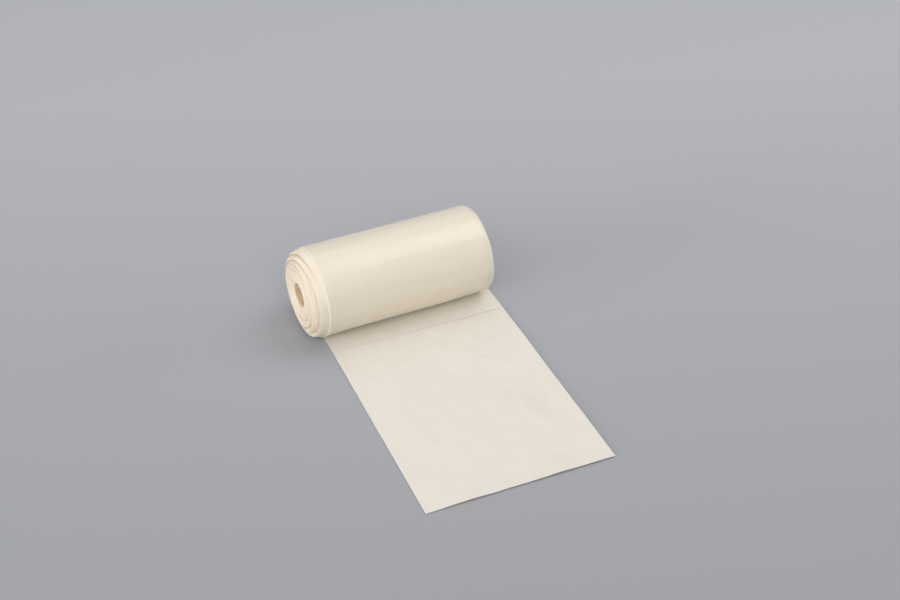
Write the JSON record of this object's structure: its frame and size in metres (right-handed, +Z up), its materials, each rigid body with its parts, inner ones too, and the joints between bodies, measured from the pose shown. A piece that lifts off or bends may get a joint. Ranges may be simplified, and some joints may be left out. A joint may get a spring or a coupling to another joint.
{
  "type": "roll of dog poop bags",
  "caption": "Coreless roll of film bags on its side, wound from one perforated web, with the first bag pulled out flat in front.",
  "frame": {"origin": "on the surface that the roll lies on, at the middle of its flat spot, below the middle of the roll's axis", "axes": "+X along the roll from its stepped left end to its cupped right end, the loose end points to -Y, +Z up"},
  "size_m": [0.0658, 0.1108, 0.0297],
  "materials": {
    "film": "satin"
  },
  "bodies": {
    "root": {"bag_roll": "film"}
  },
  "joints": []
}
